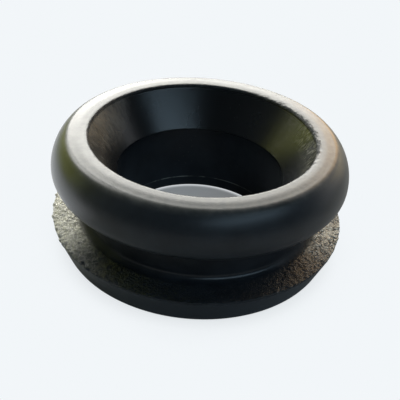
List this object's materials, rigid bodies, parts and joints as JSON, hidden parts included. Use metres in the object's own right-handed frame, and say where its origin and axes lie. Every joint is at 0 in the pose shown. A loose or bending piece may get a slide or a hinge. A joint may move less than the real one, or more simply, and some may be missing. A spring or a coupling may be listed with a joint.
{
  "type": "rubber grommet",
  "caption": "Moulded rubber panel grommet with a bulged head, countersunk mouth, round bore, panel groove and a tapered rear flange.",
  "frame": {"origin": "centre of the flange's foot, where the grommet stands on a surface", "axes": "+Z along the bore's axis, from the flange's foot towards the countersunk mouth; X and Y are free, because the grommet is a body of revolution"},
  "size_m": [0.03, 0.03, 0.0118],
  "materials": {
    "rubber": "satin moulded black rubber, smooth on the head and the bore, rough and pebbled on the flange's upper face"
  },
  "bodies": {
    "root": {"grommet": "rubber"}
  },
  "joints": []
}
